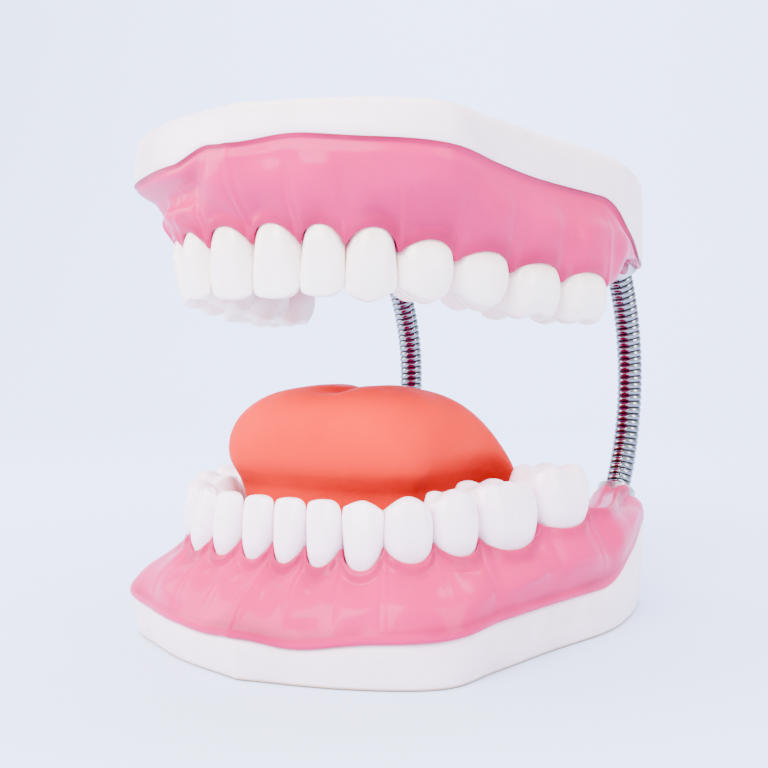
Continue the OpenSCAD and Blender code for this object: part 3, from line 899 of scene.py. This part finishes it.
def new_material(name, **shader):
    """A material with its shader; the shader's constant values are set on its own sockets."""
    mat = bpy.data.materials.new(name)
    mat.use_nodes = True
    tree = mat.node_tree
    surface = tree.nodes["Principled BSDF"]
    for key, value in shader.items():
        surface.inputs[key.replace("_", " ")].default_value = value
    return mat, tree, surface


def ramp(tree, factor, stops):
    """A colour from a linked factor, through (position, hex) stops."""
    node = add(tree, "ValToRGB", {"Fac": factor})
    while len(node.color_ramp.elements) < len(stops):
        node.color_ramp.elements.new(0.5)
    for element, (position, code) in zip(node.color_ramp.elements, stops):
        element.position = position
        element.color = linear(code)
    return node.outputs["Color"]


def per_mm(size):
    """Scale of a texture on object coordinates whose features are size millimetres across."""
    return 1 / (size * MM)


def mottled(tree, coords, size, low, high):
    """Soft patches of a size in millimetres, from one grey to another."""
    cloud = add(tree, "TexNoise", {"Vector": coords}, Scale=per_mm(size), Detail=3.0)
    spread = add(tree, "MapRange", {"Value": cloud.outputs["Fac"]}, From_Min=0.3, From_Max=0.7,
                 To_Min=low, To_Max=high)
    return spread.outputs["Result"]


def bumped(tree, surface, height, distance, strength):
    """Bump from a linked height, distance millimetres high."""
    bump = add(tree, "Bump", {"Height": height}, Strength=strength, Distance=distance * MM)
    tree.links.new(bump.outputs["Normal"], surface.inputs["Normal"])


def tint_of(tree):
    """The skin's own attribute: 1 in grooves and folds, where it paints shade; on the teeth it is also high
    at the neck, for their warmer tone.
    """
    return add(tree, "Attribute", attribute_name="tint").outputs["Fac"]


def plus(tree, a, b, share):
    """a with a share of b added, held between 0 and 1."""
    scaled = add(tree, "Math", {0: b}, operation="MULTIPLY")
    scaled.inputs[1].default_value = share
    return add(tree, "Math", {0: a, 1: scaled.outputs[0]}, operation="ADD", use_clamp=True).outputs[0]


def mix_colours(tree, factor, colour, code):
    """From a linked colour to a hex colour, by a factor."""
    node = tree.nodes.new("ShaderNodeMix")
    node.data_type = "RGBA"
    tree.links.new(factor, node.inputs["Factor"])
    tree.links.new(colour, node.inputs[6])
    node.inputs[7].default_value = linear(code)
    return node.outputs[2]


def gum_vinyl():
    """Pink vinyl under a thin lacquer: soft highlights over a slightly cloudy pink, deepened
    by painted shade in grooves and round the necks of the teeth."""
    mat, tree, surface = new_material(
        "gum_vinyl", Roughness=0.34, IOR=1.4, Coat_Weight=0.22, Coat_Roughness=0.09, Coat_IOR=1.3,
        Subsurface_Weight=0.04, Subsurface_Scale=0.003, Specular_IOR_Level=0.08)
    surface.inputs["Subsurface Radius"].default_value = (1, 0.35, 0.45)
    coords = add(tree, "TexCoord").outputs["Object"]
    cloud = mottled(tree, coords, 22, 0.0, 0.4)
    # The skin's tint adds painted shade in grooves and round the margins to the pink's clouds.
    depth = plus(tree, cloud, tint_of(tree), 0.75)
    colour = ramp(tree, depth, [(0, "#CC0E66"), (0.35, "#C40A5E"), (0.7, "#A00448"), (1, "#78022C")])
    tree.links.new(colour, surface.inputs["Base Color"])
    fine = add(tree, "TexNoise", {"Vector": coords}, Scale=per_mm(1.6), Detail=2.0)
    broad = add(tree, "TexNoise", {"Vector": coords}, Scale=per_mm(9), Detail=2.0)
    bumped(tree, surface, plus(tree, broad.outputs["Fac"], fine.outputs["Fac"], 0.12), 0.5, 0.35)
    return mat


def base_plaster():
    """Cast off-white resin: satin, a little chalky, with faint pour clouds and pin marks."""
    mat, tree, surface = new_material("base_cast_resin", IOR=1.5, Subsurface_Weight=0.06,
                                      Subsurface_Scale=0.003)
    coords = add(tree, "TexCoord").outputs["Object"]
    cloud = mottled(tree, coords, 18, 0.0, 1.0)
    colour = ramp(tree, cloud, [(0, "#F7E2EC"), (0.6, "#F3DCE6"), (1, "#E9D0DA")])
    height = add(tree, "SeparateXYZ", {"Vector": coords}).outputs["Z"]
    # The raw underside shows as a thin tan line along the foot of the lower base.
    foot = add(tree, "MapRange", {"Value": height}, From_Min=0.0004, From_Max=0.0010, To_Min=1, To_Max=0)
    mixed = mix_colours(tree, foot.outputs["Result"], colour, "#C9A98A")
    tree.links.new(mixed, surface.inputs["Base Color"])
    tree.links.new(mottled(tree, coords, 6, 0.34, 0.48), surface.inputs["Roughness"])
    grain = add(tree, "TexNoise", {"Vector": coords}, Scale=per_mm(0.8), Detail=4.0)
    bumped(tree, surface, plus(tree, cloud, grain.outputs["Fac"], 0.3), 0.35, 0.25)
    return mat


def enamel(name, light, mid, warm):
    """Moulded acrylic tooth: milky white that lets a little light in, smooth and softly
    glossy, a touch warmer at the neck, with painted shade darkening the fissures."""
    mat, tree, surface = new_material(
        name, IOR=1.49, Coat_Weight=0.25, Coat_Roughness=0.15, Subsurface_Weight=0.18,
        Subsurface_Scale=0.004)
    surface.inputs["Subsurface Radius"].default_value = (1, 0.8, 0.7)
    coords = add(tree, "TexCoord").outputs["Object"]
    cloud = mottled(tree, coords, 7, 0.0, 0.35)
    depth = plus(tree, cloud, tint_of(tree), 0.7)
    tree.links.new(ramp(tree, depth, [(0, light), (0.45, mid), (1, warm)]), surface.inputs["Base Color"])
    tree.links.new(mottled(tree, coords, 3, 0.24, 0.36), surface.inputs["Roughness"])
    # Faint growth lines across the crown, drawn at 0.9 mm so that they show at all.
    lines = add(tree, "TexWave", {"Vector": coords}, Scale=per_mm(0.9) / 20, Distortion=2.0,
                Detail=2.0, bands_direction="Z")
    broad = add(tree, "TexNoise", {"Vector": coords}, Scale=per_mm(4), Detail=2.0)
    bumped(tree, surface, plus(tree, broad.outputs["Fac"], lines.outputs["Fac"], 0.1), 0.25, 0.25)
    return mat


def tongue_rubber():
    """Soft moulded silicone: salmon red, nearly matt, with fine close-set bumps, and a deeper
    red of painted shade where it tucks in under itself and along the median groove."""
    mat, tree, surface = new_material(
        "tongue_silicone", IOR=1.33, Subsurface_Weight=0.06, Subsurface_Scale=0.004,
        Specular_IOR_Level=0.06)
    surface.inputs["Subsurface Radius"].default_value = (1, 0.3, 0.2)
    coords = add(tree, "TexCoord").outputs["Object"]
    cloud = mottled(tree, coords, 20, 0.0, 0.35)
    depth = plus(tree, cloud, tint_of(tree), 0.8)
    colour = ramp(tree, depth, [(0, "#CE1E13"), (0.4, "#C6170E"), (0.75, "#AA0C07"), (1, "#860404")])
    tree.links.new(colour, surface.inputs["Base Color"])
    tree.links.new(mottled(tree, coords, 5, 0.46, 0.6), surface.inputs["Roughness"])
    bumps = add(tree, "TexVoronoi", {"Vector": coords}, Scale=per_mm(1.1), feature="SMOOTH_F1")
    bumped(tree, surface, bumps.outputs["Distance"], 0.12, 0.35)
    return mat


def metal(name, light, groove_shade, rough_low, rough_high):
    """Polished or drawn metal: bright, with painted shade darkening the grooves and slight rubbing marks."""
    mat, tree, surface = new_material(name, Metallic=1.0)
    coords = add(tree, "TexCoord").outputs["Object"]
    groove = tint_of(tree)
    colour = ramp(tree, groove, [(0, light), (0.2, light), (0.6, groove_shade)])
    tree.links.new(colour, surface.inputs["Base Color"])
    tree.links.new(mottled(tree, coords, 2.5, rough_low, rough_high), surface.inputs["Roughness"])
    scratch = add(tree, "TexNoise", {"Vector": coords}, Scale=per_mm(0.5), Detail=3.0)
    bumped(tree, surface, scratch.outputs["Fac"], 0.02, 0.3)
    return mat


def cover_board():
    """Thin pressed board: dull tan with short fibres and a little dust."""
    mat, tree, surface = new_material("cover_fibreboard", IOR=1.5)
    coords = add(tree, "TexCoord").outputs["Object"]
    stretched = add(tree, "Mapping", {"Vector": coords}, Scale=(1, 6, 1))
    fibres = add(tree, "TexNoise", {"Vector": stretched.outputs["Vector"]}, Scale=per_mm(4), Detail=6.0)
    colour = ramp(tree, fibres.outputs["Fac"], [(0.25, "#A68A68"), (0.5, "#BDA27E"), (0.75, "#CDB592")])
    tree.links.new(colour, surface.inputs["Base Color"])
    tree.links.new(mottled(tree, coords, 3, 0.6, 0.8), surface.inputs["Roughness"])
    bumped(tree, surface, fibres.outputs["Fac"], 0.08, 0.4)
    return mat


def paint(obj, mat):
    obj.data.materials.clear()
    obj.data.materials.append(mat)


# ---- Making everything ------------------------------------------------------------------

gum_look = gum_vinyl()
base_look = base_plaster()
steel_look = metal("drawn_steel", "#B9BCC0", "#5E6064", 0.25, 0.4)
board_look = cover_board()
enamel_looks = {
    "lower": enamel("lower_tooth_acrylic", "#FDE6F5", "#F9DFEE", "#EFCAD8"),
    "upper": enamel("upper_tooth_acrylic", "#FFEFEA", "#FBE7E0", "#F0CFC2"),
}
for jaw in (LOWER, UPPER):
    paint(make_base(jaw), base_look)
    paint(make_gum(jaw), gum_look)
    for index in range(len(TOOTH_WORDS)):
        for crown in make_tooth(jaw, index):
            paint(crown, enamel_looks[jaw["name"]])
    for node in ("_neck_sockets", "_neck_ferrules"):
        paint(frame["nodes"][jaw["name"] + node], steel_look)
    paint(frame["nodes"][jaw["name"] + "_cover_plate"], board_look)
paint(make_tongue(), tongue_rubber())
# Near-black painted shade fills the chrome's grooves, grey painted shade the spring's.
chrome_look = metal("neck_chrome_plate", "#85898F", "#050506", 0.05, 0.12)
spring_look = metal("core_spring_steel", "#8F9296", "#3A3B3E", 0.3, 0.45)
for side, word in ((1, "left"), (-1, "right")):
    coil, core = make_neck(side, word)
    paint(coil, chrome_look)
    paint(core, spring_look)


# ---- Studio -----------------------------------------------------------------------------

CAMERA_AT = (0.18935, -0.29765, 0.08244)
CAMERA_TURN = 33.229
CAMERA_DIP = 1.97
LENS = 56.2
SWEEP_FAR = 1.6
SWEEP_BEND = 0.9
SWEEP_TOP = 2.2
SWEEP_HALF = 3
SWEEP_STEPS = 12


def make_sweep():
    """A pale sweep: a floor that curves up into a backdrop behind the object."""
    turn = math.radians(CAMERA_TURN)
    away = Vector((-math.sin(turn), math.cos(turn), 0))
    across = Vector((math.cos(turn), math.sin(turn), 0))
    profile = [(-SWEEP_HALF, 0), (SWEEP_FAR - SWEEP_BEND, 0)]
    for step in range(1, SWEEP_STEPS + 1):
        angle = math.radians(90 * step / SWEEP_STEPS)
        profile.append((SWEEP_FAR - SWEEP_BEND + SWEEP_BEND * math.sin(angle),
                        SWEEP_BEND - SWEEP_BEND * math.cos(angle)))
    profile.append((SWEEP_FAR, SWEEP_TOP))
    points = []
    for d, z in profile:
        for side in (-SWEEP_HALF, SWEEP_HALF):
            points.append(away * d + across * side + Vector((0, 0, z - 0.1 * MM)))
    mesh = bpy.data.meshes.new("studio_sweep")
    quads = [(2 * i, 2 * i + 1, 2 * i + 3, 2 * i + 2) for i in range(len(profile) - 1)]
    mesh.from_pydata(points, [], quads)
    sweep = bpy.data.objects.new("studio_sweep", mesh)
    bpy.context.scene.collection.objects.link(sweep)
    for face in mesh.polygons:
        face.use_smooth = True
    mat, tree, surface = new_material("sweep_paper", Roughness=1.0, IOR=1.2)
    coords = add(tree, "TexCoord").outputs["Object"]
    paper = mottled(tree, coords, 300, 0, 1)
    tree.links.new(ramp(tree, paper, [(0, "#CEDBFC"), (1, "#CCD9FA")]), surface.inputs["Base Color"])
    paint(sweep, mat)


def make_lamp(name, at, size, energy, colour, target=(0, 0, 0.07)):
    light = bpy.data.lights.new(name, "AREA")
    light.shape = "RECTANGLE"
    light.size, light.size_y = size
    light.energy = energy
    light.color = linear(colour)[:3]
    lamp = bpy.data.objects.new(name, light)
    bpy.context.scene.collection.objects.link(lamp)
    lamp.location = at
    lamp.rotation_euler = (Vector(target) - Vector(at)).to_track_quat("-Z", "Y").to_euler()


def make_camera():
    data = bpy.data.cameras.new("camera")
    data.lens = LENS
    data.sensor_width = 36
    camera = bpy.data.objects.new("camera", data)
    bpy.context.scene.collection.objects.link(camera)
    camera.location = CAMERA_AT
    turn, dip = math.radians(CAMERA_TURN), math.radians(CAMERA_DIP)
    look = Vector((-math.sin(turn) * math.cos(dip), math.cos(turn) * math.cos(dip), -math.sin(dip)))
    camera.rotation_euler = look.to_track_quat("-Z", "Y").to_euler()
    bpy.context.scene.camera = camera


def make_sky():
    world = bpy.data.worlds.new("studio")
    world.use_nodes = True
    sky = world.node_tree.nodes["Background"]
    sky.inputs["Color"].default_value = linear("#F4F6FF")
    sky.inputs["Strength"].default_value = 1.9
    bpy.context.scene.world = world


make_sweep()
make_sky()
make_camera()
make_lamp("key_softbox", (0.02, -0.75, 0.6), (0.6, 0.5), 26, "#FFFAF7")
make_lamp("left_softbox", (-0.7, -0.35, 0.35), (0.5, 0.5), 9, "#FFFAF8")
make_lamp("right_softbox", (0.75, 0.0, 0.45), (0.4, 0.6), 9, "#FFFAF8")
make_lamp("backdrop_light", (-0.1, 0.35, 1.3), (1.6, 0.6), 85, "#F2F5FF", (-0.9, 1.4, 0.3))
